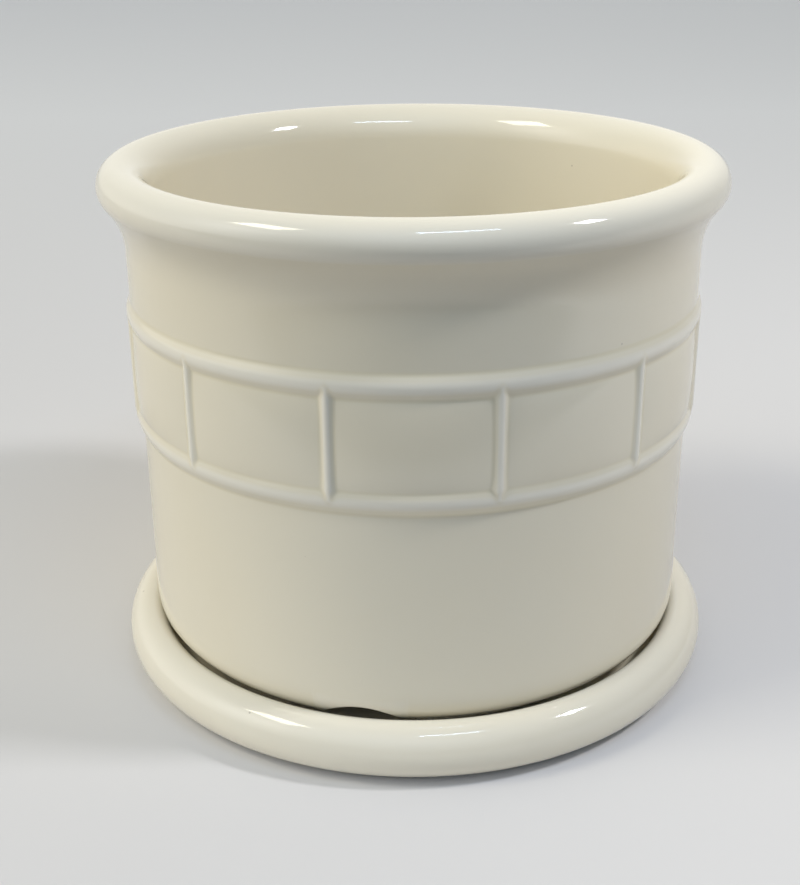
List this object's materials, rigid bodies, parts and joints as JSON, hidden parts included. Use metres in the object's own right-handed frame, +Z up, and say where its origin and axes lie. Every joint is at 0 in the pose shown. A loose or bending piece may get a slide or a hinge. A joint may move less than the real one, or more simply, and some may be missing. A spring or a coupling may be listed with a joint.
{
  "type": "planter with saucer",
  "caption": "Round glazed stoneware pot with a rolled rim, a raised hoop-and-rib band and a drain hole, standing loose in a round-rimmed saucer.",
  "frame": {"origin": "on the table under the middle of the saucer's foot ring", "axes": "+Z up along the axis of the pot and saucer, -Y towards the front, +X to the right seen from the front"},
  "size_m": [0.1626, 0.1626, 0.1376],
  "materials": {
    "pot_glaze": "glossy ivory glaze over pale stoneware",
    "saucer_glaze": "glossy ivory glaze over pale stoneware"
  },
  "bodies": {
    "saucer": {"saucer": "saucer_glaze"},
    "pot": {"pot": "pot_glaze"}
  },
  "joints": [
    {"name": "pot_lift", "type": "slide", "parent": "saucer", "child": "pot", "axis": [0, 0, 1], "range_m": [0, 0.15]}
  ]
}
